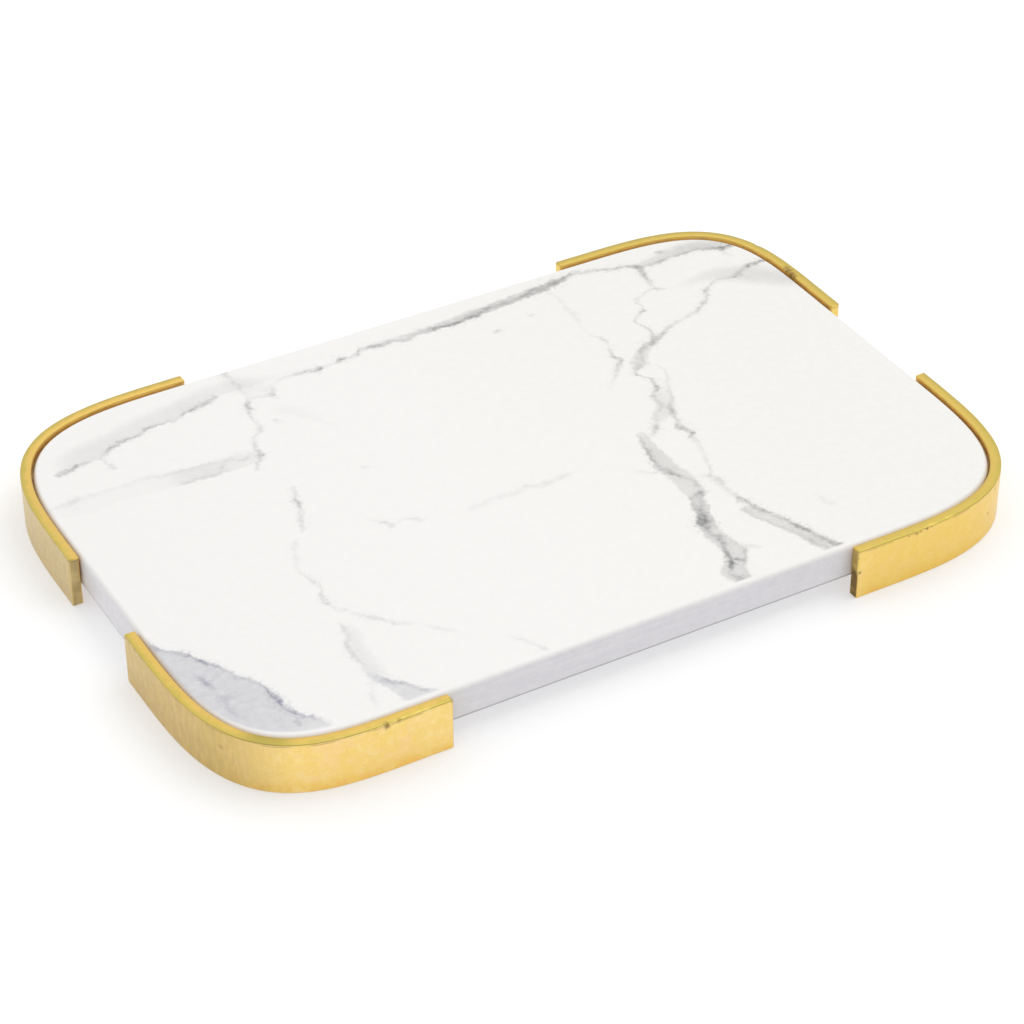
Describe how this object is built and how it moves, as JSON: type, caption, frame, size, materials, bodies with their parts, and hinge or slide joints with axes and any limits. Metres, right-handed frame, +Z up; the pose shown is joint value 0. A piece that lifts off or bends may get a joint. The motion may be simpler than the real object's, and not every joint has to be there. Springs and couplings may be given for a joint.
{
  "type": "vanity tray",
  "caption": "Low rounded-rectangle display tray: a veined white marble slab held clear of the table by bent brass corner bands that are both feet and rim.",
  "frame": {"origin": "on the surface the tray stands on, under the middle of the tray's outline", "axes": "+X along the long edge to the right, +Y along the short edge to the back, +Z up out of the slab's top"},
  "size_m": [0.305, 0.205, 0.019],
  "materials": {
    "marble": "honed white marble with soft grey veins and a low sheen",
    "brass": "raw unlacquered brass, lightly mottled and dinged",
    "adhesive": "cured epoxy, cloudy cream"
  },
  "bodies": {
    "root": {"marble_slab": "marble", "brass_band_front_left": "brass", "brass_band_front_right": "brass", "brass_band_rear_right": "brass", "brass_band_rear_left": "brass", "adhesive_bed_front_left": "adhesive", "adhesive_bed_front_right": "adhesive", "adhesive_bed_rear_right": "adhesive", "adhesive_bed_rear_left": "adhesive"}
  },
  "joints": []
}
